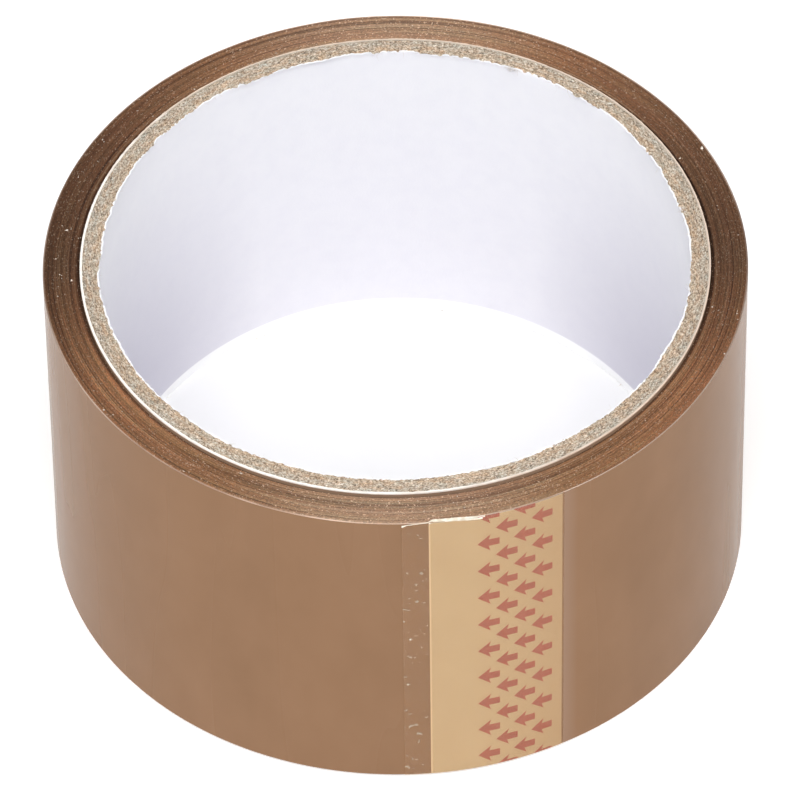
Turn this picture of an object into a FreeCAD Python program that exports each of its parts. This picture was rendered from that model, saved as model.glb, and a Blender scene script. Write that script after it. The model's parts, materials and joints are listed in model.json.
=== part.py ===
"""Roll of parcel packing tape on a paper core, with its lead end held on a starter tab.

Frame: millimetres, +Z up along the core's axis, origin in the middle of the core's lower end.
The roll stands on the lower end of its core. Going anticlockwise from above, the outer turn
begins at the peel line; the last stretch of tape, clockwise of that line, is the lead end.
Angles are counted anticlockwise from +X.
"""
import FreeCAD, Part

import math
import os

import Sketcher

SIZES = {
    # Core: a white paper liner inside and out, and grey board plies between them.
    "core_bore_radius": 38.1,
    "inner_liner_thickness": 0.2,
    "board_ply_thickness": 0.5,
    "outer_liner_thickness": 0.3,
    "core_length": 49.0,
    # Tape: film with its adhesive, wound on the core and narrower than it.
    "tape_width": 48.0,
    "tape_thickness": 0.043,
    "wound_depth": 4.8,
    # Lead end: the last stretch of tape, lifted by the tab that is stuck under it.
    "peel_line_angle": -62.7,
    "lead_end_sweep": 26.9,
    "tab_sweep": 22.3,
    "tab_inset_sweep": 0.3,
    "tab_thickness": 0.03,
    "lift_gap": 0.04,
}
BOARD_PLIES = 4
DERIVED = {
    "core_radius": (
        "core_bore_radius + inner_liner_thickness"
        f" + {BOARD_PLIES} * board_ply_thickness + outer_liner_thickness"
    ),
    "wound_radius": "core_radius + wound_depth",
    "core_overhang": "(core_length - tape_width) / 2",
    "tab_inner_radius": "wound_radius - tape_thickness + lift_gap",
    "lead_inner_radius": "tab_inner_radius + tab_thickness",
    "lead_outer_radius": "lead_inner_radius + tape_thickness",
}
ORIGIN_POINT = (-1, 1)
X_AXIS = -1
START, END, CENTRE = 1, 2, 3


def make_sheet(doc):
    """Spreadsheet with one aliased row for each driving and each derived size."""
    sheet = doc.addObject("Spreadsheet::Sheet", "Sizes")
    rows = [(alias, str(value)) for alias, value in SIZES.items()]
    rows += [(alias, "=" + formula) for alias, formula in DERIVED.items()]
    for row, (alias, content) in enumerate(rows, start=1):
        sheet.set(f"A{row}", alias)
        sheet.set(f"B{row}", content)
        sheet.setAlias(f"B{row}", alias)
    doc.recompute()
    return sheet


def new_body(doc, label):
    body = doc.addObject("PartDesign::Body", label)
    body.Label = label
    return body


def new_sketch(body, name, role):
    """Sketch on one of the body's own origin planes."""
    sketch = body.newObject("Sketcher::SketchObject", name)
    plane = next(f for f in body.Origin.OriginFeatures if f.Role == role)
    sketch.AttachmentSupport = [(plane, "")]
    sketch.MapMode = "FlatFace"
    return sketch


def constrain(sketch, kind, *args, size=None):
    """Add a constraint, and bind its value to a formula of the sheet's sizes."""
    index = sketch.addConstraint(Sketcher.Constraint(kind, *args))
    if size:
        sketch.setExpression(f"Constraints[{index}]", sheet_formula(size))


def sheet_formula(formula):
    """The formula with every size written as a cell of the sheet."""
    words = formula.replace("(", "( ").replace(")", " )").split()
    aliases = set(SIZES) | set(DERIVED)
    return " ".join(f"Sizes.{word}" if word in aliases else word for word in words)


def pad(body, sketch, length):
    feature = body.newObject("PartDesign::Pad", f"{body.Name}_pad")
    feature.Profile = sketch
    feature.setExpression("Length", sheet_formula(length))
    return feature


def add_circle(sketch, sheet, formula):
    """Circle about the sketch's origin, with its radius from the sheet."""
    start_radius = sheet.get("wound_radius")
    circle = Part.Circle(FreeCAD.Vector(), FreeCAD.Vector(0, 0, 1), start_radius)
    index = sketch.addGeometry(circle)
    constrain(sketch, "Coincident", index, CENTRE, *ORIGIN_POINT)
    constrain(sketch, "Radius", index, start_radius, size=formula)


def make_core_layer(doc, sheet, label, inner, thickness):
    """One layer of the core: a tube as long as the core."""
    body = new_body(doc, label)
    sketch = new_sketch(body, f"{label}_section", "XY_Plane")
    add_circle(sketch, sheet, inner)
    add_circle(sketch, sheet, f"{inner} + {thickness}")
    pad(body, sketch, "core_length")
    return body


def make_core(doc, sheet):
    """The core's layers from the bore outwards."""
    inner = "core_bore_radius"
    layers = [make_core_layer(doc, sheet, "core_inner_liner", inner, "inner_liner_thickness")]
    inner += " + inner_liner_thickness"
    for ply in range(BOARD_PLIES):
        label = f"core_board_ply_{ply + 1}"
        start = f"{inner} + {ply} * board_ply_thickness"
        layers.append(make_core_layer(doc, sheet, label, start, "board_ply_thickness"))
    inner += f" + {BOARD_PLIES} * board_ply_thickness"
    layers.append(
        make_core_layer(doc, sheet, "core_outer_liner", inner, "outer_liner_thickness")
    )
    return layers


def make_wound_tape(doc, sheet):
    """All the turns as one solid, whose outline spirals in by one tape thickness per turn.

    The outline is two half circles, whose centres lie a quarter of the tape's thickness to each
    side of the axis. The turn ends one tape thickness inside its start, at the peel line.
    """
    body = new_body(doc, "wound_tape")
    sketch = new_sketch(body, "wound_tape_section", "XY_Plane")
    radius = sheet.get("wound_radius")
    thickness = sheet.get("tape_thickness")
    shift = thickness / 4
    first_half = half_circle(shift, radius - shift, 0)
    second_half = half_circle(-shift, radius - 3 * shift, math.pi)
    inner_end = FreeCAD.Vector(radius - thickness, 0, 0)
    step = Part.LineSegment(inner_end, FreeCAD.Vector(radius, 0, 0))
    outer, inner, edge = (sketch.addGeometry(g) for g in (first_half, second_half, step))
    constrain(sketch, "Coincident", outer, END, inner, START)
    constrain(sketch, "Coincident", inner, END, edge, START)
    constrain(sketch, "Coincident", edge, END, outer, START)
    for half, point in ((outer, CENTRE), (inner, CENTRE), (outer, START), (outer, END), (inner, END)):
        constrain(sketch, "PointOnObject", half, point, X_AXIS)
    quarter = "tape_thickness / 4"
    constrain(sketch, "DistanceX", *ORIGIN_POINT, outer, CENTRE, shift, size=quarter)
    constrain(sketch, "DistanceX", inner, CENTRE, *ORIGIN_POINT, shift, size=quarter)
    constrain(sketch, "DistanceX", *ORIGIN_POINT, outer, START, radius, size="wound_radius")
    add_circle(sketch, sheet, "core_radius")
    pad(body, sketch, "tape_width")
    place(body, "peel_line_angle")
    return body


def half_circle(centre_x, radius, start_angle):
    """Half circle, anticlockwise from its start angle, with its centre on the X axis."""
    circle = Part.Circle(FreeCAD.Vector(centre_x, 0, 0), FreeCAD.Vector(0, 0, 1), radius)
    return Part.ArcOfCircle(circle, start_angle, start_angle + math.pi)


def place(body, angle):
    """Turn a piece of the tape to its angle about the axis and lift it above the core's end."""
    body.Placement.Rotation = FreeCAD.Rotation(FreeCAD.Vector(0, 0, 1), 0)
    body.setExpression("Placement.Rotation.Angle", sheet_formula(angle))
    body.setExpression("Placement.Base.z", sheet_formula("core_overhang"))


def make_strip(doc, sheet, label, inner, outer, sweep, start_angle):
    """A piece of film lying around the roll: a thin rectangle turned about the axis."""
    body = new_body(doc, label)
    sketch = new_sketch(body, f"{label}_section", "XZ_Plane")
    near, far = sheet.get(inner), sheet.get(outer)
    width = sheet.get("tape_width")
    corners = [(near, 0), (far, 0), (far, width), (near, width)]
    points = [FreeCAD.Vector(x, y, 0) for x, y in corners]
    sides = [
        sketch.addGeometry(Part.LineSegment(points[i], points[(i + 1) % 4])) for i in range(4)
    ]
    for i in range(4):
        constrain(sketch, "Coincident", sides[i], END, sides[(i + 1) % 4], START)
        constrain(sketch, "Horizontal" if i % 2 == 0 else "Vertical", sides[i])
    constrain(sketch, "PointOnObject", sides[0], START, X_AXIS)
    constrain(sketch, "DistanceX", *ORIGIN_POINT, sides[0], START, near, size=inner)
    constrain(sketch, "DistanceX", *ORIGIN_POINT, sides[0], END, far, size=outer)
    constrain(sketch, "DistanceY", sides[1], START, sides[1], END, width, size="tape_width")
    turn = body.newObject("PartDesign::Revolution", f"{label}_turn")
    turn.Profile = sketch
    turn.ReferenceAxis = (sketch, ["V_Axis"])
    turn.setExpression("Angle", sheet_formula(sweep))
    place(body, start_angle)
    return body


def make_lead_end(doc, sheet):
    """The free end of the tape and, stuck under it, the starter tab; both are curved strips."""
    lead = make_strip(
        doc,
        sheet,
        "lead_end",
        "lead_inner_radius",
        "lead_outer_radius",
        "lead_end_sweep",
        "peel_line_angle - lead_end_sweep",
    )
    tab = make_strip(
        doc,
        sheet,
        "starter_tab",
        "tab_inner_radius",
        "lead_inner_radius",
        "tab_sweep",
        "peel_line_angle - tab_inset_sweep - tab_sweep",
    )
    return [lead, tab]


def check_document(doc, parts):
    """Stop if any object failed, or if a piece isn't one valid solid."""
    for item in doc.Objects:
        if "Invalid" in item.State or "Error" in item.State:
            raise RuntimeError(f"{item.Label} failed: {item.State}")
    for body in parts:
        shape = body.Shape
        if shape.isNull() or not shape.isValid() or len(shape.Solids) != 1:
            raise RuntimeError(f"{body.Label} isn't one valid solid")


def check_volume(body, expected):
    if abs(body.Shape.Volume - expected) > 0.001 * expected:
        raise RuntimeError(f"{body.Label}: volume {body.Shape.Volume:.2f}, not {expected:.2f}")


def check_volumes(sheet, parts):
    """Compare each strip, and the winding, with its section times its length."""
    width = sheet.get("tape_width")
    bodies = {body.Label: body for body in parts}
    inner, outer = sheet.get("core_radius"), sheet.get("wound_radius")
    mean = outer - sheet.get("tape_thickness") / 2
    check_volume(bodies["wound_tape"], math.pi * (mean**2 - inner**2) * width)
    strips = [
        ("lead_end", "lead_inner_radius", "lead_outer_radius", "lead_end_sweep"),
        ("starter_tab", "tab_inner_radius", "lead_inner_radius", "tab_sweep"),
    ]
    for label, near, far, sweep in strips:
        area = (sheet.get(far) ** 2 - sheet.get(near) ** 2) * math.radians(sheet.get(sweep)) / 2
        check_volume(bodies[label], area * width)


def main():
    doc = FreeCAD.newDocument("tape_roll")
    sheet = make_sheet(doc)
    parts = make_core(doc, sheet)
    parts.append(make_wound_tape(doc, sheet))
    parts += make_lead_end(doc, sheet)
    doc.recompute()
    check_document(doc, parts)
    check_volumes(sheet, parts)
    os.makedirs("parts", exist_ok=True)
    for body in parts:
        body.Shape.exportStep(os.path.join("parts", f"{body.Label}.step"))
        box = body.Shape.BoundBox
        print(f"{body.Label:18s} {body.Shape.Volume:10.2f} mm3  x {box.XMin:.2f} {box.XMax:.2f}"
              f"  y {box.YMin:.2f} {box.YMax:.2f}  z {box.ZMin:.2f} {box.ZMax:.2f}")
    turns = sheet.get("wound_depth") / sheet.get("tape_thickness")
    mean_radius = (sheet.get("core_radius") + sheet.get("wound_radius")) / 2
    print(f"{turns:.0f} turns, {turns * 2 * math.pi * mean_radius / 1000:.1f} m of tape")


main()
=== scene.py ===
"""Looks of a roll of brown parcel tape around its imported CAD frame.

Metres, +Z up, angles anticlockwise from +X as seen from above. The roll stands on the lower end
of its core. Every shape is worked out from the frame: the layers' radii and heights, and the
lead end's angles. MM is one millimetre.
"""

import json
import math

import bmesh
import bpy
import numpy as np
from mathutils import Matrix, Vector


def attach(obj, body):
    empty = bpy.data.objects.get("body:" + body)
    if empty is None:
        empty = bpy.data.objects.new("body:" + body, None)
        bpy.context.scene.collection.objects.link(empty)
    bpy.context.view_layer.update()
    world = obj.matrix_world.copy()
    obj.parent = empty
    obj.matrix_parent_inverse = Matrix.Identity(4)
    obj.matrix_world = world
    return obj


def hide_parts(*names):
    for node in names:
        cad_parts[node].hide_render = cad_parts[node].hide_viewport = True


MM = 0.001
TURN = 2 * math.pi

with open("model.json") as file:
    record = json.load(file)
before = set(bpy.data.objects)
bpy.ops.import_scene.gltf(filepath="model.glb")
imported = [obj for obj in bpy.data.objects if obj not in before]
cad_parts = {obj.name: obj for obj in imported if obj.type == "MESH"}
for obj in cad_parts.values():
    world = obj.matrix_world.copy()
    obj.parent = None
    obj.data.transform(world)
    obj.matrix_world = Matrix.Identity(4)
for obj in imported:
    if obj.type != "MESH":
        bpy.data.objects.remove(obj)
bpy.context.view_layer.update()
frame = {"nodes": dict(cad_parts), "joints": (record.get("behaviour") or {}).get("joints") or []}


# ---------------------------------------------------------------- measures from the frame

class Layer:
    """A CAD node's inner and outer radius, its lower and upper end, and a strip's two angles."""

    def __init__(self, node):
        points = np.array([v.co for v in frame["nodes"][node].data.vertices])
        radii = np.hypot(points[:, 0], points[:, 1])
        self.node = node
        self.inner = radii.min()
        self.outer = radii.max()
        self.low = points[:, 2].min()
        self.high = points[:, 2].max()
        angles = np.arctan2(points[:, 1], points[:, 0])
        self.first_angle = angles.min()
        self.last_angle = angles.max()


INNER_LINER = Layer("core_inner_liner")
BOARD_PLIES = [Layer(f"core_board_ply_{ply}") for ply in (1, 2, 3, 4)]
OUTER_LINER = Layer("core_outer_liner")
WOUND = Layer("wound_tape")
LEAD = Layer("lead_end")
TAB = Layer("starter_tab")
LIFT = frame["joints"][0]
PEEL_ANGLE = math.atan2(LIFT["pos_m"][1], LIFT["pos_m"][0])
TAPE_THICKNESS = LEAD.outer - LEAD.inner


# ---------------------------------------------------------------- mesh tools

def add_object(name, data, location=(0, 0, 0)):
    item = bpy.data.objects.new(name, data)
    item.location = location
    bpy.context.scene.collection.objects.link(item)
    return item


def mesh_object(name, points, faces, body, sharp_angle=40):
    """A piece from its points and faces, smooth except at edges sharper than sharp_angle."""
    mesh = bpy.data.meshes.new(name)
    mesh.from_pydata(np.asarray(points).tolist(), [], np.asarray(faces).tolist())
    mesh.validate()
    mesh.shade_smooth()
    mesh.set_sharp_from_angle(angle=math.radians(sharp_angle))
    piece = add_object(name, mesh)
    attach(piece, body)
    return piece


def grid_faces(columns, rows, loop_columns=True, loop_rows=True, start=0):
    """Quads between neighbours of a grid of points, facing out when the rows run clockwise."""
    index = np.arange(columns * rows).reshape(columns, rows) + start
    if loop_columns:
        index = np.concatenate([index, index[:1]], axis=0)
    if loop_rows:
        index = np.concatenate([index, index[:, :1]], axis=1)
    corners = [index[:-1, :-1], index[:-1, 1:], index[1:, 1:], index[1:, :-1]]
    return np.stack(corners, axis=-1).reshape(-1, 4)


def round_points(angles, radii, heights):
    """Points from an angle per column and a radius and height per column and row."""
    x = radii * np.cos(angles)[:, None]
    y = radii * np.sin(angles)[:, None]
    return np.stack([x, y, heights], axis=-1).reshape(-1, 3)


def wander(rng, columns, rows, reach):
    """Random values around the ring, smooth over an angle of reach, with a spread of one."""
    values = rng.standard_normal((columns, rows))
    waves = np.arange(columns // 2 + 1)[:, None]
    smooth = np.fft.rfft(values, axis=0) * np.exp(-((waves * reach) ** 2) / 2)
    values = np.fft.irfft(smooth, n=columns, axis=0)
    return values / values.std()


# ---------------------------------------------------------------- material tools

def add_node(tree, kind, values=None, **settings):
    """A shader node with its settings, and its inputs as values or as sockets to link."""
    node = tree.nodes.new(kind)
    for key, value in settings.items():
        setattr(node, key, value)
    for key, value in (values or {}).items():
        if isinstance(value, bpy.types.NodeSocket):
            tree.links.new(value, node.inputs[key])
        else:
            node.inputs[key].default_value = value
    return node


def new_material(name, values):
    """A material and its tree, with the constant inputs of its main shader set."""
    material = bpy.data.materials.new(name)
    material.use_nodes = True
    shader = material.node_tree.nodes["Principled BSDF"]
    for key, value in values.items():
        shader.inputs[key].default_value = value
    return material, material.node_tree, shader


def calculate(tree, operation, *values):
    node = add_node(tree, "ShaderNodeMath", dict(enumerate(values)), operation=operation)
    return node.outputs[0]


def product(tree, first, second):
    return calculate(tree, "MULTIPLY", first, second)


def total(tree, first, second):
    return calculate(tree, "ADD", first, second)


def axes_of(tree):
    """Sockets for x, y and z in the row frame, and for the distance from the axis."""
    place = add_node(tree, "ShaderNodeTexCoord").outputs["Object"]
    x, y, z = add_node(tree, "ShaderNodeSeparateXYZ", {0: place}).outputs
    radius = calculate(tree, "SQRT", total(tree, product(tree, x, x), product(tree, y, y)))
    return x, y, z, radius


def grain(tree, around, across, upright, detail=2.0, roughness=0.6):
    """Noise whose grains are so long around the axis, across the wall and upright, in metres."""
    x, y, z, radius = axes_of(tree)
    flat = [calculate(tree, "DIVIDE", s, around) for s in (x, y)]
    height = calculate(tree, "DIVIDE", z, upright)
    place = add_node(tree, "ShaderNodeCombineXYZ", {0: flat[0], 1: flat[1], 2: height})
    depth = calculate(tree, "DIVIDE", radius, across)
    values = {"Vector": place.outputs[0], "W": depth, "Scale": 1.0}
    values |= {"Detail": detail, "Roughness": roughness}
    return add_node(tree, "ShaderNodeTexNoise", values, noise_dimensions="4D").outputs[0]


def ramp(tree, factor, *stops):
    """Colour of a factor, by stops of (position, colour)."""
    node = add_node(tree, "ShaderNodeValToRGB", {0: factor})
    elements = node.color_ramp.elements
    while len(elements) < len(stops):
        elements.new(0.5)
    for element, (position, colour) in zip(elements, stops):
        element.position = position
        element.color = (*colour, 1.0)
    return node.outputs[0]


def between(tree, factor, low, high):
    """The factor spread over the values from low to high."""
    node = add_node(tree, "ShaderNodeMapRange", {0: factor, 3: low, 4: high})
    return node.outputs[0]


def ramp_value(tree, factor, low, high):
    """How far the factor is on its way from low to high, from 0 to 1."""
    values = {0: factor, 1: low, 2: high}
    return add_node(tree, "ShaderNodeMapRange", values).outputs[0]


def blend_colours(tree, factor, first, second, how="MIX"):
    """First colour turning into the second as the factor goes from 0 to 1."""
    first, second = ((*c, 1.0) if isinstance(c, tuple) else c for c in (first, second))
    values = {"Factor": factor, 6: first, 7: second}
    node = add_node(tree, "ShaderNodeMix", values, data_type="RGBA", blend_type=how)
    return node.outputs[2]


def tinted(tree, colour, tint):
    """The colour times the tint, channel by channel."""
    return blend_colours(tree, 1.0, colour, tint, how="MULTIPLY")


def bump(tree, shader, height, distance):
    node = add_node(tree, "ShaderNodeBump", {"Height": height, "Distance": distance})
    tree.links.new(node.outputs[0], shader.inputs["Normal"])


# ---------------------------------------------------------------- materials

# Colours are linear. SHADES, and other lists of stops, are (position, colour) along a ramp.
WHITE = (1.0, 1.0, 1.0)

WALL_SHADES = [(0.3, (0.245, 0.137, 0.075)), (0.7, (0.267, 0.151, 0.085))]
WALL_BANDS = [(0.25, (0.965, 0.965, 0.965)), (0.75, (1.035, 1.035, 1.035))]
PALE_WALL = (0.295, 0.185, 0.125)
PALE_WALL_WIDTH = 1.8 * MM


def tape_wall_material():
    """Brown film seen flat on: soft upright bands, and paler just beside the peel line."""
    values = {"IOR": 1.5, "Specular IOR Level": 0.05}
    material, tree, shader = new_material("tape_wall", values)
    mottle = grain(tree, 9 * MM, 9 * MM, 14 * MM, detail=3.0)
    streaks = grain(tree, 7 * MM, 20 * MM, 90 * MM, detail=1.0)
    colour = ramp(tree, mottle, *WALL_SHADES)
    colour = tinted(tree, colour, ramp(tree, streaks, *WALL_BANDS))
    x, y = axes_of(tree)[:2]
    peel_x = LIFT["pos_m"][0]
    beside = product(tree, ramp_value(tree, x, peel_x + PALE_WALL_WIDTH, peel_x),
                     calculate(tree, "GREATER_THAN", x, peel_x))
    beside = product(tree, beside, calculate(tree, "LESS_THAN", y, 0.0))
    colour = blend_colours(tree, beside, colour, PALE_WALL)
    tree.links.new(colour, shader.inputs["Base Color"])
    tree.links.new(between(tree, streaks, 0.14, 0.38), shader.inputs["Roughness"])
    return material


EDGE_SHADER = {
    "IOR": 2.2, "Metallic": 0.82, "Roughness": 0.65, "Specular IOR Level": 0.9,
    "Anisotropic": 0.8, "Anisotropic Rotation": 0.25,
}
EDGE_DARK = (0.120, 0.058, 0.030)
EDGE_MIDDLE = (0.400, 0.218, 0.116)
EDGE_LIGHT = (0.640, 0.440, 0.295)
EDGE_LINES = [(0.30, EDGE_DARK), (0.44, EDGE_MIDDLE), (0.60, EDGE_MIDDLE), (0.74, EDGE_LIGHT)]
EDGE_GRIT = [(0.34, (0.68, 0.67, 0.66)), (0.5, (1.0, 0.99, 0.98)), (0.66, (1.32, 1.28, 1.22))]
EDGE_GAPS = [(0.36, (0.72, 0.68, 0.65)), (0.46, (1.03, 1.03, 1.03))]
EDGE_HUES = [(0.36, (0.93, 0.85, 0.82)), (0.5, (1.0, 0.96, 0.92)), (0.64, (1.03, 1.09, 1.06))]
# Painted light and shade round the roll, by y over radius: 0 at the front, 0.5 at the two sides, 1
# at the back. It gives a paler sheen at the front and the back, brighter front diagonals and
# darker back diagonals.
EDGE_PAINTED_LIGHT = [
    (0.00, (0.87, 1.00, 1.14)), (0.02, (0.93, 1.01, 1.08)), (0.07, (1.06, 1.02, 0.89)),
    (0.25, (1.60, 1.51, 1.41)), (0.40, (1.22, 1.17, 1.15)), (0.50, (0.94, 0.94, 1.00)),
    (0.75, (0.83, 0.75, 0.70)), (0.93, (1.08, 1.01, 0.92)), (1.00, (0.95, 1.10, 1.25)),
]
# Painted shade in the sunk turns next to the core, by depth from the core in millimetres. It
# narrows at the front.
SUNK_PAINTED_SHADE = [(0.0, (0.25, 0.23, 0.22)), (0.40, (0.5, 0.47, 0.45)), (0.56, WHITE)]
SUNK_NARROWING = 0.32
# A painted highlight on a line of proud turns: its depth from the core and its half width, in
# millimetres.
PROUD_LINE_HIGHLIGHT = (0.72, 0.07)
PROUD_LINE_HIGHLIGHT_COLOUR = (0.50, 0.30, 0.17)
# A painted highlight along the end's outer rim, where its edge catches the light: in places, and
# at the front right.
RIM_HIGHLIGHT_WIDTH = 0.20 * MM
RIM_HIGHLIGHT_COLOUR = (0.92, 0.74, 0.62)
SPECK_COLOUR = (0.78, 0.58, 0.42)


def tape_edge_material():
    """The turns' cut edges: brown lines in groups, with grit and specks, and painted light and
    shade.

    They shine across themselves like a disc's grooves. That shine is alike at the front and the
    back of the roll, so a tint round the roll paints light and shade on them: a paler sheen at the
    front and the back, brighter front diagonals and darker back diagonals. There is painted shade
    in the sunk turns by the core, and painted highlights on a line of proud turns and along the
    outer rim, in places.
    """
    material, tree, shader = new_material("tape_edges", EDGE_SHADER)
    lines = grain(tree, 60 * MM, 0.13 * MM, 30 * MM, detail=1.5, roughness=0.7)
    bits = grain(tree, 0.26 * MM, 0.13 * MM, 1 * MM, detail=1.5, roughness=0.6)
    groups = grain(tree, 70 * MM, 0.20 * MM, 70 * MM, detail=0.0)
    hue = grain(tree, 18 * MM, 0.6 * MM, 18 * MM, detail=2.0)
    colour = ramp(tree, lines, *EDGE_LINES)
    for pattern, stops in ((bits, EDGE_GRIT), (groups, EDGE_GAPS), (hue, EDGE_HUES)):
        colour = tinted(tree, colour, ramp(tree, pattern, *stops))
    x, y, _, radius = axes_of(tree)
    # Painted light and shade round the roll, standing in for how the light falls on the turns'
    # edges.
    round_place = ramp_value(tree, calculate(tree, "DIVIDE", y, radius), -1.0, 1.0)
    colour = tinted(tree, colour, ramp(tree, round_place, *EDGE_PAINTED_LIGHT))
    depth = calculate(tree, "DIVIDE", calculate(tree, "SUBTRACT", radius, WOUND.inner), MM)
    # Painted shade in the sunk turns next to the core, narrower at the front.
    front = ramp_value(tree, y, -18 * MM, -36 * MM)
    sunk = total(tree, depth, product(tree, front, SUNK_NARROWING))
    colour = tinted(tree, colour, ramp(tree, sunk, *SUNK_PAINTED_SHADE))
    # Painted highlight on a line of proud turns, in places.
    places = grain(tree, 16 * MM, 40 * MM, 16 * MM, detail=2.0)
    in_line = calculate(tree, "COMPARE", depth, *PROUD_LINE_HIGHLIGHT)
    strength = product(tree, in_line, ramp_value(tree, places, 0.42, 0.62))
    colour = blend_colours(tree, strength, colour, PROUD_LINE_HIGHLIGHT_COLOUR)
    # Painted highlight along the outer rim, in places and at the front right.
    from_rim = calculate(tree, "SUBTRACT", WOUND.outer, radius)
    on_rim = calculate(tree, "LESS_THAN", from_rim, RIM_HIGHLIGHT_WIDTH)
    front_right = product(tree, ramp_value(tree, x, 16 * MM, 22 * MM),
                          ramp_value(tree, y, -15 * MM, -20 * MM))
    pale = calculate(tree, "MAXIMUM", front_right, ramp_value(tree, places, 0.75, 0.35))
    colour = blend_colours(tree, product(tree, on_rim, pale), colour, RIM_HIGHLIGHT_COLOUR)
    spots = grain(tree, 0.26 * MM, 0.20 * MM, 0.3 * MM, detail=1.0)
    colour = blend_colours(tree, ramp_value(tree, spots, 0.63, 0.69), colour, SPECK_COLOUR)
    tree.links.new(colour, shader.inputs["Base Color"])
    tangent = add_node(tree, "ShaderNodeTangent", direction_type="RADIAL", axis="Z")
    tree.links.new(tangent.outputs[0], shader.inputs["Tangent"])
    bump(tree, shader, lines, 0.06 * MM)
    return material


# A tint for each board ply, from the bore outwards.
BOARD_TINTS = [(1.0, 0.95, 0.88), (1.0, 0.955, 0.90), (0.98, 0.96, 0.93), (0.94, 0.95, 0.94)]
BOARD_SHADES = [
    (0.29, (0.03, 0.024, 0.02)), (0.40, (0.27, 0.22, 0.175)), (0.50, (0.50, 0.42, 0.345)),
    (0.60, (0.71, 0.65, 0.58)), (0.71, (0.98, 0.96, 0.93)),
]
BOARD_PATCHES = [(0.35, (1.0, 0.87, 0.75)), (0.5, (1.0, 0.97, 0.93)), (0.65, (0.92, 0.97, 0.98))]


def board_material(name, tint):
    """Cut grey board: pressed fibres from pale to dark brown, with no shine."""
    material, tree, shader = new_material(name, {"Roughness": 0.95, "Specular IOR Level": 0.2})
    fibres = grain(tree, 0.29 * MM, 0.22 * MM, 0.4 * MM, detail=2.5, roughness=0.75)
    patches = grain(tree, 1.3 * MM, 0.6 * MM, 1.6 * MM, detail=3.0)
    colour = ramp(tree, fibres, *BOARD_SHADES)
    colour = tinted(tree, colour, ramp(tree, patches, *BOARD_PATCHES))
    colour = tinted(tree, colour, tint)
    tree.links.new(colour, shader.inputs["Base Color"])
    bump(tree, shader, fibres, 0.14 * MM)
    return material


LINER_SHADES = [(0.3, (0.882375, 0.8775, 0.92393)), (0.6, (0.905, 0.900, 0.938))]
# Painted shade and light up the bore: darker at its foot (0) and lighter at its upper end (1).
LINER_PAINTED_SHADE_UP = [(0.0, (0.92, 0.91, 0.92)), (0.5, WHITE), (0.9, (1.04, 1.045, 1.035))]
# Painted shade: grey, low down at the two sides of the bore.
LINER_SIDE_SHADE = (0.58, 0.565, 0.65)
# A painted light along the foot: a white strip, light from the floor, which reads as more of the
# white
# floor: its height at the two sides, how much it rises for each millimetre towards the back, and
# how far it fades above.
LIT_FOOT_HEIGHT = 0.4 * MM
LIT_FOOT_RISE = 0.04
LIT_FOOT_FADE = 0.25 * MM


def inner_liner_material():
    """White paper in the bore: matt, with painted shade low down, most at the two sides, and a
    painted light along its foot.
    """
    values = {"Roughness": 0.8, "Specular IOR Level": 0.3}
    material, tree, shader = new_material("inner_liner_paper", values)
    x, y, z = axes_of(tree)[:3]
    clouds = grain(tree, 2.4 * MM, 2.4 * MM, 2.4 * MM, detail=4.0, roughness=0.65)
    paper = ramp(tree, clouds, *LINER_SHADES)
    # Painted shade, darker low down in the bore.
    height = calculate(tree, "DIVIDE", z, INNER_LINER.high)
    paper = tinted(tree, paper, ramp(tree, height, *LINER_PAINTED_SHADE_UP))
    # Painted shade: greyer low down at the two sides.
    sides = ramp_value(tree, calculate(tree, "ABSOLUTE", x), 18 * MM, 38 * MM)
    sides = product(tree, sides, ramp_value(tree, z, 42 * MM, 8 * MM))
    paper = blend_colours(tree, sides, paper, LINER_SIDE_SHADE)
    # Painted light: a white strip along the foot, higher towards the back.
    foot_top = total(tree, product(tree, y, LIT_FOOT_RISE), LIT_FOOT_HEIGHT)
    above_foot = calculate(tree, "SUBTRACT", z, foot_top)
    paper = blend_colours(tree, ramp_value(tree, above_foot, LIT_FOOT_FADE, 0.0), paper, WHITE)
    tree.links.new(paper, shader.inputs["Base Color"])
    tooth = grain(tree, 0.25 * MM, 0.25 * MM, 0.25 * MM, detail=2.0)
    bump(tree, shader, tooth, 0.02 * MM)
    return material


# The nearly white paper is painted light, on the liner's lit front left.
LIT_SIDE_PAPER = (0.96, 0.90, 0.84)
TAN_PAPER = (0.78, 0.62, 0.50)
SOAKED_PAPER = (0.55, 0.47, 0.39)
BROWN_OUTSIDE_PAPER = (0.34, 0.22, 0.14)


def outer_liner_material():
    """The outer liner: nearly white at the front left, painted light on its lit side, and tan
    elsewhere.

    Away from the front left its inner part is darker. Its outside is brown below its upper edge.
    """
    material, tree, shader = new_material("outer_liner_paper", {"Roughness": 0.8})
    x, y, z, radius = axes_of(tree)
    # Painted light: whiter towards the front left, the paper's lit side.
    place = total(tree, product(tree, x, 0.80), product(tree, y, 0.60))
    clouds = calculate(tree, "SUBTRACT", grain(tree, 3 * MM, 3 * MM, 3 * MM, detail=3.0), 0.5)
    place = total(tree, place, product(tree, clouds, 40 * MM))
    away_from_lit_side = ramp_value(tree, place, -24 * MM, -4 * MM)
    edge = OUTER_LINER.outer
    inner_part = ramp_value(tree, radius, edge - 0.12 * MM, edge - 0.18 * MM)
    tan_part = blend_colours(tree, inner_part, TAN_PAPER, SOAKED_PAPER)
    paper = blend_colours(tree, away_from_lit_side, LIT_SIDE_PAPER, tan_part)
    # The outside is brown below its upper edge, next to the tape.
    outside = calculate(tree, "GREATER_THAN", radius, edge - 0.02 * MM)
    below = calculate(tree, "LESS_THAN", z, OUTER_LINER.high - 0.24 * MM)
    paper = blend_colours(tree, product(tree, outside, below), paper, BROWN_OUTSIDE_PAPER)
    tree.links.new(paper, shader.inputs["Base Color"])
    return material


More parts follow.
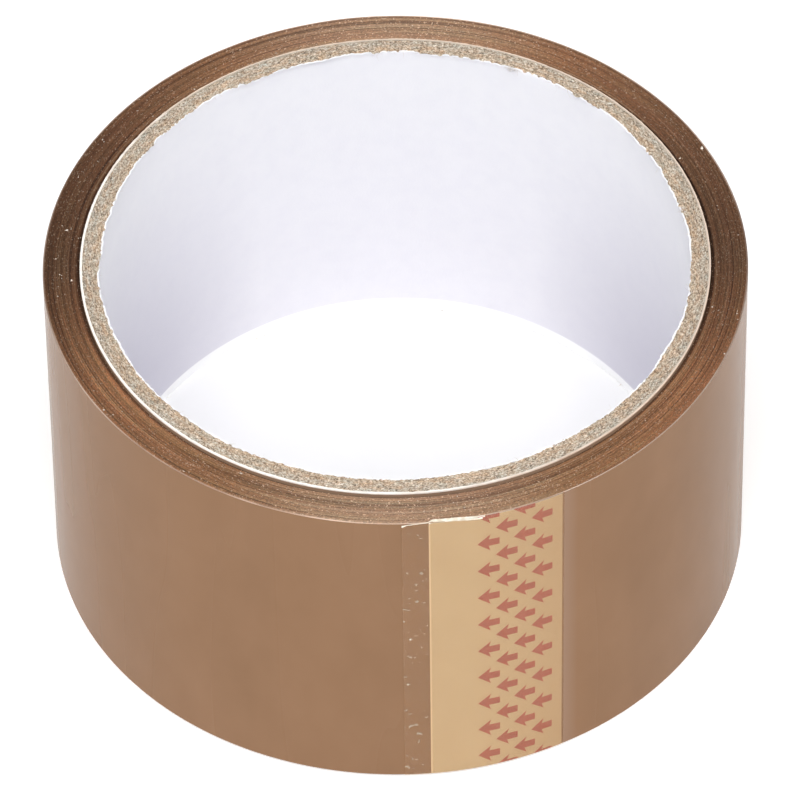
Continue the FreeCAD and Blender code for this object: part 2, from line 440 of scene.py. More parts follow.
def loose_paper_material(name, dark, light):
    """Loose paper fibre, matt, each hair or fleck a little lighter or darker."""
    material, tree, shader = new_material(name, {"Roughness": 0.9, "Specular IOR Level": 0.2})
    shade = grain(tree, 1.2 * MM, 0.6 * MM, 1.2 * MM, detail=1.0)
    tree.links.new(ramp(tree, shade, (0.35, dark), (0.65, light)), shader.inputs["Base Color"])
    return material


FILM_SHADES = [(0.3, (0.52, 0.48, 0.36)), (0.7, (0.565, 0.525, 0.405))]
FILM_CLEAR = (0.970, 0.871, 0.747)
# Milky film, and the painted highlight on the creased lip.
MILKY_AND_LIT_SHADES = [(0.35, (0.66, 0.57, 0.43)), (0.65, (0.90, 0.84, 0.74))]


def lead_film_material(name, clear_share):
    """One thickness of the brown film: clear but tinted and a little hazy, glossy outside."""
    material, tree, shader = new_material(name, {"IOR": 2.4, "Roughness": 0.16})
    mottle = grain(tree, 5 * MM, 9 * MM, 9 * MM, detail=2.0)
    tree.links.new(ramp(tree, mottle, *FILM_SHADES), shader.inputs["Base Color"])
    clear = add_node(tree, "ShaderNodeBsdfTransparent", {"Color": (*FILM_CLEAR, 1.0)})
    mix = add_node(tree, "ShaderNodeMixShader", {0: clear_share})
    tree.links.new(shader.outputs[0], mix.inputs[1])
    tree.links.new(clear.outputs[0], mix.inputs[2])
    tree.links.new(mix.outputs[0], tree.nodes["Material Output"].inputs["Surface"])
    return material


def milky_and_lit_film_material():
    """Pale film: milky over caught air, and along the creased lip and the cut end a painted
    highlight, where the edge leans in and catches the light.
    """
    material, tree, shader = new_material("creased_film", {"Roughness": 0.3})
    clouds = grain(tree, 0.8 * MM, 0.8 * MM, 0.8 * MM, detail=2.0)
    tree.links.new(ramp(tree, clouds, *MILKY_AND_LIT_SHADES), shader.inputs["Base Color"])
    return material


TAB_BROWNER = (0.52, 0.465, 0.40)


def tab_material(name, dark, light):
    """Pale film tab: cream and faintly satin, a little browner towards the peel line."""
    material, tree, shader = new_material(name, {"Roughness": 0.45, "Specular IOR Level": 0.35})
    clouds = grain(tree, 4 * MM, 4 * MM, 6 * MM, detail=3.0)
    colour = ramp(tree, clouds, (0.3, dark), (0.7, light))
    browner = ramp_value(tree, axes_of(tree)[0], 9 * MM, 20 * MM)
    colour = blend_colours(tree, browner, colour, TAB_BROWNER)
    tree.links.new(colour, shader.inputs["Base Color"])
    return material


INK_SHADES = [(0.3, (0.31, 0.020, 0.020)), (0.7, (0.40, 0.042, 0.040))]


def ink_material():
    """Red print, a little thin and uneven."""
    material, tree, shader = new_material("tab_print", {"Roughness": 0.5})
    patches = grain(tree, 0.5 * MM, 0.5 * MM, 0.5 * MM, detail=3.0)
    tree.links.new(ramp(tree, patches, *INK_SHADES), shader.inputs["Base Color"])
    return material


FLOOR_SHADES = [(0.3, (0.80, 0.80, 0.80)), (0.7, (0.82, 0.82, 0.82))]
# How strongly the floor glows, a painted light: weakly inside the bore, and strongly around the
# roll, where it washes out the roll's shadow.
BORE_GLOW = 0.07
GLOW_AROUND_ROLL = 0.42


def floor_material():
    """Pale floor that glows, a painted light: matt, glowing much less inside the bore than around
    the roll.
    """
    values = {"Roughness": 0.7, "Specular IOR Level": 0.1, "Emission Color": (*WHITE, 1.0)}
    material, tree, shader = new_material("floor", values)
    around = ramp_value(tree, axes_of(tree)[3], BOARD_PLIES[0].inner, WOUND.outer)
    glow = between(tree, around, BORE_GLOW, GLOW_AROUND_ROLL)
    tree.links.new(glow, shader.inputs["Emission Strength"])
    place = add_node(tree, "ShaderNodeTexCoord").outputs["Object"]
    noise = add_node(tree, "ShaderNodeTexNoise", {"Vector": place, "Scale": 40.0})
    colour = ramp(tree, noise.outputs[0], *FLOOR_SHADES)
    tree.links.new(colour, shader.inputs["Base Color"])
    return material


# ---------------------------------------------------------------- core

CORE_COLUMNS = 1440
CRUSH_REACH = 1.2 * MM
# Grid of the liner's wall up the bore, and of each ply across its end.
LINER_LEVELS = 20
POINTS_PER_PLY = 5
# How deep the saw's roughness is in the liners and in the board.
LINER_ROUGHNESS = 0.03 * MM
BOARD_ROUGHNESS = 0.08 * MM
# How far the torn places stand back in the liner, and how far they hang in from the board.
LINER_TEAR = 0.18 * MM
BOARD_TEAR = 0.13 * MM


def wall_levels(layer, between_ends):
    """Heights up a layer's wall, close together over the crushed stretch at both ends."""
    near = CRUSH_REACH * np.linspace(0, 1, 6)[1:]
    low, high = layer.low + near, layer.high - near[::-1]
    middle = np.linspace(low[-1], high[0], between_ends + 2)[1:-1]
    return np.concatenate([low, middle, high])


def ring_section(layer, across, between_ends):
    """Radii and heights around a layer's section, clockwise from just above the inner foot."""
    face = np.linspace(layer.inner, layer.outer, across + 1)
    bore, back = wall_levels(layer, between_ends), wall_levels(layer, 0)
    inner, outer = layer.inner * np.ones(len(bore)), layer.outer * np.ones(len(back))
    radii = np.concatenate([inner, face, outer, face[::-1]])
    level = np.ones(len(face))
    heights = np.concatenate([bore, layer.high * level, back[::-1], layer.low * level])
    return radii, heights


def core_layer(layer, material, tops, feet, between_ends, burr):
    """A tube of the core with rough cut ends.

    tops and feet are how far the two ends stand back, per column around and point across. burr
    leans the bore's edges inwards, and the board behind them less and less.
    """
    radii, heights = ring_section(layer, tops.shape[1] - 1, between_ends)
    top = np.flatnonzero(np.isclose(heights, layer.high, rtol=0, atol=1e-9))
    foot = np.flatnonzero(np.isclose(heights, layer.low, rtol=0, atol=1e-9))[::-1]
    near_end = np.maximum(heights - (layer.high - CRUSH_REACH), layer.low + CRUSH_REACH - heights)
    lean = np.clip(near_end / CRUSH_REACH, 0, 1) ** 2
    behind = (BOARD_PLIES[-1].outer - radii) / (BOARD_PLIES[-1].outer - BOARD_PLIES[0].inner)
    lean *= np.clip(behind, 0, 1) ** 2
    angles = np.linspace(0, TURN, CORE_COLUMNS, endpoint=False)
    heights = np.tile(heights, (CORE_COLUMNS, 1))
    heights[:, top] -= tops
    heights[:, foot] += feet
    radii = radii - lean * burr[:, None]
    points = round_points(angles, radii, heights)
    faces = grid_faces(CORE_COLUMNS, radii.shape[1])
    piece = mesh_object(layer.node + "_paper", points, faces, "roll", sharp_angle=60)
    piece.data.materials.append(material)
    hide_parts(layer.node)


def rough_end(rng, points_across, depth):
    """How far a sawn end stands back: grain of a few tenths of a millimetre, and broad waves."""
    fine = wander(rng, CORE_COLUMNS, points_across, 0.0035)
    broad = wander(rng, CORE_COLUMNS, 1, 0.09)
    return (1.2 - np.clip(0.75 * fine + 0.45 * broad, -2.2, 1.2)) * depth


def make_core():
    """Liners and board plies. The bore's edge is crushed in, ragged and torn, most at the back."""
    rng = np.random.default_rng(7)
    ragged = wander(rng, CORE_COLUMNS, 1, 0.006)[:, 0]
    scallops = wander(rng, CORE_COLUMNS, 1, 0.06)[:, 0]
    # The share of the raggedness round the bore: 1 at the back and 0.4 at the front.
    calm = 0.70 + 0.30 * np.sin(np.linspace(0, TURN, CORE_COLUMNS, endpoint=False))
    burr = np.clip(0.12 + calm * (0.07 * ragged + 0.14 * scallops), -0.08, 0.50) * MM
    white = inner_liner_material()
    torn = wander(rng, CORE_COLUMNS, 1, 0.005) + 0.8 * wander(rng, CORE_COLUMNS, 1, 0.04)
    torn = calm * np.clip(torn[:, 0], 0, 1.5)
    ends = [rough_end(rng, 3, LINER_ROUGHNESS) for _ in range(4)]
    ends[0] += (LINER_TEAR * torn)[:, None]
    core_layer(INNER_LINER, white, ends[0], ends[1], LINER_LEVELS, burr)
    board_points = POINTS_PER_PLY * len(BOARD_PLIES) + 1
    upper, lower = (rough_end(rng, board_points, BOARD_ROUGHNESS) for _ in range(2))
    hang = burr + BOARD_TEAR * torn
    for number, layer in enumerate(BOARD_PLIES):
        board = board_material(f"board_ply_{number + 1}", BOARD_TINTS[number])
        first = POINTS_PER_PLY * number
        across = slice(first, first + POINTS_PER_PLY + 1)
        core_layer(layer, board, upper[:, across], lower[:, across], 0, hang)
    pale = outer_liner_material()
    core_layer(OUTER_LINER, pale, ends[2], ends[3], 0, burr)


# ---------------------------------------------------------------- fibres and dust

# How far out each corner of a flake lies.
FLAKE_SHARES = (1.0, 0.72, 0.95, 0.80, 1.08, 0.66)
# The tuft torn from the upper edge: its place round the bore in degrees, and its hairs.
TORN_TUFT = 66.0
TORN_HAIRS = 90
SMALL_TUFT_HAIRS = 16
# Place round the roll in degrees, distance out from the core in millimetres, and half length in
# millimetres of each larger fleck on the upper end.
LARGER_FLECKS = [(26.5, 4.25, 0.42), (26.0, 0.8, 0.25), (214.0, 4.3, 0.22), (233.0, 4.3, 0.20),
                 (205.0, 0.7, 0.20), (171.0, 2.3, 0.28), (129.0, 0.7, 0.24), (318.0, 1.6, 0.16)]


def many_pieces(name, shapes, body, material):
    """One object of many small closed shapes, each a pair of points and faces."""
    mesh = bpy.data.meshes.new(name)
    points, faces = [], []
    for shape_points, shape_faces in shapes:
        start = len(points)
        points += [tuple(p) for p in shape_points]
        faces += [tuple(start + i for i in face) for face in shape_faces]
    mesh.from_pydata(points, [], faces)
    mesh.validate()
    mesh.shade_smooth()
    mesh.materials.append(material)
    piece = add_object(name, mesh)
    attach(piece, body)


def fibre(start, along, bend, length, width):
    """A three-sided hair that bends as it goes and tapers to its end."""
    side = along.cross(Vector((0.31, 0.17, 0.94))).normalized()
    other = along.cross(side)
    rings = 5
    points = []
    for ring in range(rings):
        t = ring / (rings - 1)
        middle = start + along * (length * t) + bend * (length * t * t)
        size = width * (1.0 - 0.75 * t) / 2
        for corner in range(3):
            turn = TURN * corner / 3
            points.append(middle + (side * math.cos(turn) + other * math.sin(turn)) * size)
    faces = [(2, 1, 0), (3 * rings - 3, 3 * rings - 2, 3 * rings - 1)]
    for ring in range(rings - 1):
        for corner in range(3):
            a, b = 3 * ring + corner, 3 * ring + (corner + 1) % 3
            faces.append((a, b, b + 3, a + 3))
    return points, faces


def flake(middle, across, along, height):
    """A flat pebble with six uneven sides."""
    points = []
    for corner, share in enumerate(FLAKE_SHARES):
        turn = TURN * corner / len(FLAKE_SHARES)
        points.append(middle + (across * math.cos(turn) + along * math.sin(turn)) * share)
    points += [middle + Vector((0, 0, height)), middle - Vector((0, 0, height))]
    faces = []
    for corner in range(6):
        after = (corner + 1) % 6
        faces += [(corner, after, 6), (after, corner, 7)]
    return points, faces


def outward(angle):
    return Vector((math.cos(angle), math.sin(angle), 0))


def round_the_axis(angle):
    return Vector((-math.sin(angle), math.cos(angle), 0))


def turned(angle, turn):
    """A level direction, turned from outward at an angle of the roll."""
    return outward(angle) * math.cos(turn) + round_the_axis(angle) * math.sin(turn)


def bore_fibres(rng, count, tufts, end, root):
    """Hairs on the bore's edge, about the root radius: single ones, and tufts.

    end is 1 for the upper end and -1 for the lower. The upper end has the torn tuft too.
    """
    places = list(rng.uniform(0, TURN, count))
    if end > 0:
        places += list(math.radians(TORN_TUFT) + rng.normal(0, 0.012, TORN_HAIRS))
    for tuft in rng.uniform(0, TURN, tufts):
        places += list(tuft + rng.normal(0, 0.008, SMALL_TUFT_HAIRS))
    shapes = []
    for angle in places:
        radius = root + rng.normal(0.1, 0.2) * MM
        height = (BOARD_PLIES[0].high if end > 0 else BOARD_PLIES[0].low) - 0.08 * MM * end
        start = outward(angle) * radius + Vector((0, 0, height))
        inward = -outward(angle) * rng.uniform(0.1, 1.0)
        lean = round_the_axis(angle) * rng.normal(0, 0.7)
        along = (inward + lean + Vector((0, 0, rng.uniform(0.0, 0.3)))).normalized()
        bend = round_the_axis(angle) * rng.normal(0, 0.4)
        if end > 0:
            bend.z = -0.35
        length = min(rng.exponential(0.32) + 0.15, 1.1) * MM
        shapes.append(fibre(start, along, bend, length, rng.uniform(0.03, 0.06) * MM))
    return shapes


def end_dust(rng, count, end):
    """Flecks of paper dust on the turns' edges at one end, many of them in loose drifts."""
    drifts = rng.uniform(0, TURN, 16)
    shapes = []
    for number in range(count):
        angle = rng.choice(drifts) + rng.normal(0, 0.12) if number % 3 else rng.uniform(0, TURN)
        radius = rng.uniform(WOUND.inner + 0.3 * MM, WOUND.outer - 0.3 * MM)
        height = (WOUND.high if end > 0 else WOUND.low) + 0.01 * MM * end
        size = min(rng.lognormal(-3.0, 0.6), 0.32) * MM
        turn = rng.uniform(0, TURN)
        across = turned(angle, turn) * size
        along = Vector((-across.y, across.x, 0)) * rng.uniform(0.4, 1.0)
        middle = outward(angle) * radius + Vector((0, 0, height))
        shapes.append(flake(middle, across, along, 0.4 * size))
    return shapes


def larger_flecks():
    """A few bigger torn flecks on the upper end's turns, lying at odd angles."""
    shapes = []
    for number, (degrees, depth, size) in enumerate(LARGER_FLECKS):
        angle = math.radians(degrees)
        place = outward(angle) * (WOUND.inner + depth * MM)
        middle = place + Vector((0, 0, WOUND.high + 0.04 * MM))
        turn = 1.0 + 2.4 * number
        across = turned(angle, turn) * size * MM
        along = Vector((-across.y, across.x, 0)) * 0.55
        shapes.append(flake(middle, across, along, 0.2 * size * MM))
    return shapes


def make_loose_bits():
    """Hairs of the board and the torn liner, dust on the tape's edges, and larger flecks."""
    rng = np.random.default_rng(11)
    brown = loose_paper_material("board_fibre", (0.55, 0.47, 0.38), (0.85, 0.79, 0.71))
    hairs = bore_fibres(rng, 240, 8, 1, INNER_LINER.outer)
    hairs += bore_fibres(rng, 40, 1, -1, INNER_LINER.outer)
    many_pieces("board_fibres", hairs, "roll", brown)
    white = loose_paper_material("liner_fibre", (0.80, 0.76, 0.76), (0.93, 0.90, 0.92))
    hairs = bore_fibres(rng, 260, 9, 1, INNER_LINER.inner)
    hairs += bore_fibres(rng, 90, 3, -1, INNER_LINER.inner)
    many_pieces("liner_fibres", hairs, "roll", white)
    flecks = end_dust(rng, 900, 1) + end_dust(rng, 300, -1)
    dust = loose_paper_material("paper_dust", (0.42, 0.32, 0.24), (0.78, 0.68, 0.58))
    many_pieces("paper_dust", flecks, "roll", dust)
    pale = loose_paper_material("paper_flecks", (0.86, 0.72, 0.58), (0.98, 0.90, 0.80))
    many_pieces("paper_flecks", larger_flecks(), "roll", pale)


# ---------------------------------------------------------------- wound tape

TAPE_COLUMNS = 448
BANDS = 36
# The groove beside each band: its depth, and its share of the band's width.
GROOVE_DEPTH = 0.035 * MM
GROOVE_SHARE = 0.16
# The wall steps in over this small angle at the peel line, in radians.
STEP_SWEEP = 0.0004
# Turns that stand out over part of the way round: band, middle and half sweep in degrees, and
# height in millimetres.
PROUD_TURNS = [(5, 178, 48, 0.22), (35, -35, 25, 0.10), (3, 20, 40, 0.10), (22, 60, 35, 0.05)]


def band_heights(rng):
    """How far each band of turns stands out of the roll's end, per column and band.

    The tape wove from side to side as it was wound, so the bands drift, a few stand proud for
    part of the way round, and the ones next to the core lie a little lower.
    """
    place = np.linspace(0, 1, BANDS)
    weave = 0.025 * np.sin(place * 9.0) + 0.015 * np.sin(place * 23.0 + 1.0)
    sunk = -0.30 * np.exp(-((place / 0.10) ** 2))
    single = 0.026 * rng.standard_normal(BANDS)
    drift = 0.020 * wander(rng, TAPE_COLUMNS, BANDS, 0.35)
    proud = 0.06 * np.clip(wander(rng, TAPE_COLUMNS, BANDS, 0.2) - 1.4, 0, 1.5)
    heights = weave + sunk + single + drift + proud
    around = PEEL_ANGLE + np.linspace(0, TURN, TAPE_COLUMNS)
    for band, middle, spread, height in PROUD_TURNS:
        away = (around - math.radians(middle) + math.pi) % TURN - math.pi
        heights[:, band] += height * np.exp(-((away / math.radians(spread)) ** 4))
    return heights * MM


def make_wound_tape():
    """All the turns: a wall that steps in once at the peel line, and banded ends."""
    rng = np.random.default_rng(21)
    step = np.linspace(0, TURN, TAPE_COLUMNS, endpoint=False)
    step[-1] = TURN - STEP_SWEEP
    angles = PEEL_ANGLE + step
    outer = WOUND.outer - TAPE_THICKNESS * step / TURN
    upper, lower = band_heights(rng), band_heights(rng)
    edges = np.linspace(0, 1, BANDS + 1)
    inset = GROOVE_SHARE / BANDS
    shares, tops, feet = [], [], []
    for band in range(BANDS):
        shares += [edges[band] + inset / 2, edges[band] + inset, edges[band + 1] - inset / 2]
        tops += [upper[:, band] - GROOVE_DEPTH, upper[:, band], upper[:, band]]
        feet += [lower[:, band] - GROOVE_DEPTH, lower[:, band], lower[:, band]]
    shares[0], shares[-1] = 0.0, 1.0
    shares = np.array(shares)
    tops = WOUND.high + np.stack(tops, axis=1)
    feet = WOUND.low - np.stack(feet, axis=1)
    face = WOUND.inner + shares[None, :] * (outer - WOUND.inner)[:, None]
    middle = np.full((TAPE_COLUMNS, 1), (WOUND.low + WOUND.high) / 2)
    radii = np.concatenate([face[:, :1], face, face[:, -1:], face[:, ::-1]], axis=1)
    heights = np.concatenate([middle, tops, middle, feet[:, ::-1]], axis=1)
    rows = radii.shape[1]
    faces = grid_faces(TAPE_COLUMNS, rows)
    points = round_points(angles, radii, heights)
    piece = mesh_object("wound_turns", points, faces, "roll", sharp_angle=25)
    piece.data.materials.append(tape_wall_material())
    piece.data.materials.append(tape_edge_material())
    steepness = np.array([abs(p.normal.z) for p in piece.data.polygons])
    row_of = np.tile(np.arange(rows), TAPE_COLUMNS)
    on_wall = np.isin(row_of, [0, len(shares), len(shares) + 1, rows - 1]) & (steepness < 0.5)
    piece.data.polygons.foreach_set("material_index", np.where(on_wall, 0, 1).astype(np.int32))
    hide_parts("wound_tape")


# ---------------------------------------------------------------- lead end

def strip(name, materials, layer, inner, outer, angles, heights, shape=None, mark=None):
    """A closed sheet on the roll's wall between two radii.

    shape moves its (angle, height) grid, and mark gives the number of each place's material.
    """
    columns, rows = len(angles), len(heights)
    grid_angles, grid_heights = np.meshgrid(angles, heights, indexing="ij")
    lift = np.zeros((columns, rows))
    rise = np.zeros((columns, rows))
    if shape:
        lift, rise = shape(grid_angles, grid_heights)
    sides = []
    for radius in (outer, inner):
        r = radius + lift
        x, y = r * np.cos(grid_angles), r * np.sin(grid_angles)
        sides.append(np.stack([x, y, grid_heights + rise], axis=-1).reshape(-1, 3))
    count = columns * rows
    front = grid_faces(columns, rows, False, False)[:, ::-1]
    back = grid_faces(columns, rows, False, False, start=count)
    index = np.arange(count).reshape(columns, rows)
    rim = np.concatenate([index[:, 0], index[-1, 1:], index[-2::-1, -1], index[0, -2:0:-1]])
    after = np.roll(rim, -1)
    edge = np.stack([rim, rim + count, after + count, after], axis=-1)
    points = np.concatenate(sides)
    piece = mesh_object(name, points, np.concatenate([front, back, edge]), "lead_end")
    for material in materials:
        piece.data.materials.append(material)
    if mark:
        marked = mark(grid_angles, grid_heights).reshape(-1)
        for polygon in piece.data.polygons:
            polygon.material_index = int(min(marked[v % count] for v in polygon.vertices))
    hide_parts(layer.node)


def arc_of(angles):
    """Arc from the tape's free end along the lead end."""
    return (angles - LEAD.first_angle) * LEAD.outer


# Along the film's upper edge: arc from the free end, how far the edge stands above its even
# height there, and how wide its pale lip is, creased film with a painted highlight, all in
# millimetres.
LIP_ARCS = (0.0, 0.7, 3.3, 3.9, 7.0, 10.3, 10.8, 12.5)
LIP_RISES = (-0.14, -0.04, 0.16, 0.48, 0.40, 0.12, 0.02, 0.0)
LIP_WIDTHS = (0.50, 0.15, 0.13, 0.30, 0.42, 0.60, 0.0, 0.0)


def along_lip(arc, values):
    """A value between those listed at LIP_ARCS, in metres."""
    return np.interp(arc / MM, LIP_ARCS, values) * MM


def lead_shape(angles, heights):
    """How the lead end's film stands off its even curve, outwards and upwards.

    Its upper edge was cut askew: it starts below the roll's end, then rises over it and leans
    in. The free corner is lifted, and small air bubbles are caught where the last few
    millimetres stick to the roll.
    """
    arc = arc_of(angles)
    from_top = LEAD.high - heights
    near_top = np.clip(1 - from_top / (1.6 * MM), 0, 1)
    rise = along_lip(arc, LIP_RISES) * near_top
    over = np.clip(along_lip(arc, LIP_RISES) / (0.46 * MM), 0, 1)
    lean = -0.20 * MM * over * np.clip(1 - from_top / (0.45 * MM), 0, 1)
    corner = np.exp(-((arc / (0.9 * MM)) ** 2) - (from_top / (0.8 * MM)) ** 2)
    return lean + 0.08 * MM * corner + bubbles(arc, heights), rise


# Air caught under the film: how many bubbles, and the arcs from the free end that they gather
# about, in millimetres.
BUBBLES = 110
BUBBLE_ROWS = [0.3, 0.9, 1.8, 2.6]


def bubbles(arc, heights):
    """How far the film stands off over the air caught near its free end."""
    rng = np.random.default_rng(5)
    lift = np.zeros_like(arc)
    for _ in range(BUBBLES):
        middle = rng.choice(BUBBLE_ROWS) * MM + rng.normal(0, 0.3) * MM
        height = rng.uniform(LEAD.low + 1 * MM, LEAD.high - 1.5 * MM)
        length = rng.uniform(0.10, 0.34) * MM
        thickness = rng.uniform(0.10, 0.26) * MM
        size = rng.uniform(0.006, 0.040) * MM
        far = ((arc - middle) / length) ** 2 + ((heights - height) / thickness) ** 2
        lift += size * np.exp(-far)
    return lift


def film_state(angles, heights):
    """0 where the film is clear, 1 where it is hazy over caught air, 2 where it is pale: milky
    over more caught air, and along the lip and the cut end, with a painted highlight.
    """
    arc = arc_of(angles)
    from_top = LEAD.high - heights
    air = bubbles(arc, heights)
    whitened = (from_top < along_lip(arc, LIP_WIDTHS)) | (air > 0.031 * MM)
    hazy = (air > 0.009 * MM) | (arc < 0.10 * MM)
    return np.where(whitened, 2, np.where(hazy, 1, 0))


def tab_part(angles, heights):
    """0 on the tab, 1 where it is folded at the peel line, 2 along its two cut edges, painted pale
    as a highlight.
    """
    arc = (angles - TAB.first_angle) * TAB.outer
    width = (TAB.last_angle - TAB.first_angle) * TAB.outer
    edges = (arc < 0.21 * MM) | (arc > width - 0.16 * MM)
    return np.where(edges, 2, np.where(arc > width - 1.06 * MM, 1, 0))


def spaced(start, stops):
    """Positions from start through each (end, spacing) stretch, evenly spaced in each."""
    values = [start]
    for end, spacing in stops:
        count = max(1, round(abs(end - values[-1]) / spacing))
        values += list(np.linspace(values[-1], end, count + 1)[1:])
    return np.array(values)


# The film's thickness, and how far inside the lead end's outer surface it lies.
FILM = 0.014 * MM
FILM_INSET = 0.005 * MM
# How much of the light goes straight through the film, where it is clear and where it is hazy.
CLEAR_SHARE = 0.895
HAZY_SHARE = 0.66


def make_lead_end():
    """The tape's free end and the tab under it, thin enough to leave room for the print."""
    width = (LEAD.last_angle - LEAD.first_angle) * LEAD.outer
    arcs = spaced(0.0, [(4 * MM, 0.12 * MM), (13 * MM, 0.3 * MM), (width, 0.5 * MM)])
    angles = LEAD.first_angle + arcs / LEAD.outer
    rise = spaced(LEAD.low, [(LEAD.high - 1 * MM, 0.16 * MM), (LEAD.high, 0.06 * MM)])
    films = [lead_film_material("lead_film", CLEAR_SHARE),
             lead_film_material("hazy_film", HAZY_SHARE), milky_and_lit_film_material()]
    outer = LEAD.outer - FILM_INSET
    strip("lead_film", films, LEAD, outer - FILM, outer, angles, rise,
          shape=lead_shape, mark=film_state)
    tab_width = (TAB.last_angle - TAB.first_angle) * TAB.outer
    stops = [(0.2 * MM, 0.1 * MM), (tab_width - 1.05 * MM, 0.4 * MM),
             (tab_width - 0.15 * MM, 0.3 * MM), (tab_width, 0.15 * MM)]
    tab_angles = TAB.first_angle + spaced(0.0, stops) / TAB.outer
    tab_heights = np.linspace(TAB.low, TAB.high, 60)
    # The tab's cut edges are painted pale, a highlight where the film steps over them.
    tabs = [tab_material("tab_film", (0.57, 0.55, 0.50), (0.60, 0.59, 0.545)),
            tab_material("tab_fold", (0.53, 0.49, 0.43), (0.57, 0.53, 0.47)),
            tab_material("tab_edge", (0.78, 0.78, 0.76), (0.84, 0.84, 0.82))]
    strip("tab_film", tabs, TAB, TAB.inner, TAB.outer, tab_angles, tab_heights,
          mark=tab_part)


# In millimetres: an arrow's outline from its tip, the arc from the free end to each column's
# tips, the height from one arrow to the next, and that of the first whole one in the first and
# third columns.
ARROW = [(0, 0), (1.72, -1.5), (1.45, -0.6), (2.9, -0.6), (2.9, 0.6), (1.45, 0.6), (1.72, 1.5)]
ARROW_TIPS = (9.6, 12.0, 14.4, 16.8)
ARROW_PITCH = 5.07
FIRST_ARROW = 2.27
# The print is cut into narrow upright strips, so that it follows the roll's curve.
PRINT_STRIP = 0.4
PRINT_RISE = 0.006 * MM
PRINT_GAP = 0.001 * MM


def make_print():
    """Red arrows on the tab, pointing to the free end, cut off by the tab's two ends."""
    flat = bmesh.new()
    rows = math.ceil((TAB.high - TAB.low) / MM / ARROW_PITCH) + 1
    for column, tip in enumerate(ARROW_TIPS):
        offset = FIRST_ARROW + (ARROW_PITCH / 2 if column % 2 else 0.0) - ARROW_PITCH
        for row in range(rows + 1):
            height = offset + row * ARROW_PITCH
            corners = [flat.verts.new((tip + x, height + y, 0)) for x, y in ARROW]
            flat.faces.new(corners)
    bmesh.ops.triangulate(flat, faces=flat.faces[:])
    cut_flat(flat, (0, 0, 0), (0, -1, 0), clear=True)
    cut_flat(flat, (0, (TAB.high - TAB.low) / MM, 0), (0, 1, 0), clear=True)
    for arc in np.arange(ARROW_TIPS[0] + PRINT_STRIP, ARROW_TIPS[-1] + 3, PRINT_STRIP):
        cut_flat(flat, (arc, 0, 0), (1, 0, 0), clear=False)
    bmesh.ops.solidify(flat, geom=flat.faces[:], thickness=PRINT_RISE / MM)
    for vert in flat.verts:
        radius = TAB.outer + PRINT_GAP + abs(vert.co.z) * MM
        angle = LEAD.first_angle + vert.co.x * MM / LEAD.outer
        height = TAB.low + vert.co.y * MM
        vert.co = (radius * math.cos(angle), radius * math.sin(angle), height)
    bmesh.ops.recalc_face_normals(flat, faces=flat.faces[:])
    mesh = bpy.data.meshes.new("tab_arrows")
    flat.to_mesh(mesh)
    flat.free()
    mesh.materials.append(ink_material())
    piece = add_object("tab_arrows", mesh)
    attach(piece, "lead_end")


def cut_flat(flat, point, normal, clear):
    """Cut every face along a plane and, if clear is set, remove what lies beyond it."""
    geometry = flat.verts[:] + flat.edges[:] + flat.faces[:]
    bmesh.ops.bisect_plane(flat, geom=geometry, plane_co=point, plane_no=normal,
                           clear_outer=clear)


# ---------------------------------------------------------------- floor, lights and camera

FLOOR_REACH = 6.0


def make_floor():
    mesh = bpy.data.meshes.new("floor")
    signs = [(-1, -1), (1, -1), (1, 1), (-1, 1)]
    corners = [(x * FLOOR_REACH, y * FLOOR_REACH, 0) for x, y in signs]
    mesh.from_pydata(corners, [], [(0, 1, 2, 3)])
    mesh.materials.append(floor_material())
    add_object("floor", mesh)


def aim(item, target):
    """Turn a lamp so that it looks at a point."""
    away = Vector(target) - item.location
    item.rotation_euler = away.to_track_quat("-Z", "Y").to_euler()


# The surround's strength in front of the object and behind it, and where it dims between.
WORLD_FRONT = 0.52
WORLD_BACK = 0.04
DIMMING = (0.45, 0.66)
# Soft boxes: name, place, width and power. They are aimed a little above the floor.
SOFT_BOXES = [
    ("key_box", (0.0, -0.75, 1.35), 1.2, 20.5),
    ("side_box", (-1.2, 0.1, 0.9), 0.8, 2.6),
    ("right_box", (1.2, 0.1, 0.9), 0.8, 1.5),
]
SOFT_BOX_TARGET = (0, 0, 0.02)


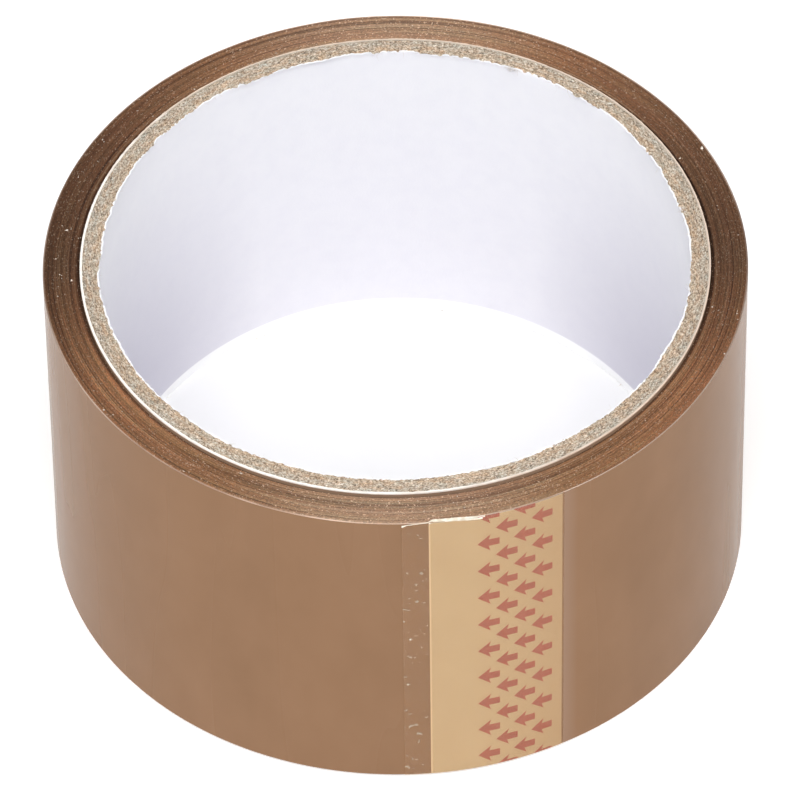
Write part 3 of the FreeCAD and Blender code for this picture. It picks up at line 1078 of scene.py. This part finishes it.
def make_world():
    """A pale surround, bright in front, overhead and at the sides, and dim behind the object."""
    world = bpy.data.worlds.new("studio")
    bpy.context.scene.world = world
    world.use_nodes = True
    tree = world.node_tree
    direction = add_node(tree, "ShaderNodeTexCoord").outputs["Generated"]
    ahead = add_node(tree, "ShaderNodeSeparateXYZ", {0: direction}).outputs[1]
    backness = ramp_value(tree, ahead, *DIMMING)
    grey = between(tree, backness, WORLD_FRONT, WORLD_BACK)
    tree.links.new(grey, tree.nodes["Background"].inputs["Strength"])
    tree.nodes["Background"].inputs["Color"].default_value = (*WHITE, 1.0)


def make_lights():
    """A soft box high in front and weaker ones at the sides."""
    for name, place, size, power in SOFT_BOXES:
        lamp = bpy.data.lights.new(name, "AREA")
        lamp.shape = "SQUARE"
        lamp.size = size
        lamp.energy = power
        aim(add_object(name, lamp, place), SOFT_BOX_TARGET)


# Camera: its distance from the roll's middle in metres, its angles, and its lens in
# millimetres. It looks a little aside of the roll's middle, by the turn and the tilt.
CAMERA_DISTANCE = 1.1967
CAMERA_ELEVATION = math.radians(46.938)
CAMERA_TURN = math.radians(-0.0176)
CAMERA_TILT = math.radians(-0.0593)
CAMERA_ROLL = math.radians(0.810)
CAMERA_LENS = 412.35


def make_camera():
    """Long lens, looking down on the free end of the tape, very slightly rolled."""
    camera = bpy.data.cameras.new("camera")
    camera.lens = CAMERA_LENS
    camera.sensor_width = 36.0
    camera.clip_start = 0.05
    item = add_object("camera", camera)
    middle = Vector((0, 0, (WOUND.low + WOUND.high) / 2))
    turn = Matrix.Rotation(math.pi / 2 - CAMERA_ELEVATION, 4, "X")
    turn = turn @ Matrix.Rotation(CAMERA_TURN, 4, "Y")
    turn = turn @ Matrix.Rotation(CAMERA_TILT, 4, "X")
    turn = turn @ Matrix.Rotation(-CAMERA_ROLL, 4, "Z")
    away = Vector((0, -math.cos(CAMERA_ELEVATION), math.sin(CAMERA_ELEVATION)))
    item.matrix_world = Matrix.Translation(middle + away * CAMERA_DISTANCE) @ turn
    bpy.context.scene.camera = item


make_core()
make_loose_bits()
make_wound_tape()
make_lead_end()
make_print()
make_floor()
make_world()
make_lights()
make_camera()
bpy.context.scene.view_settings.view_transform = "Standard"
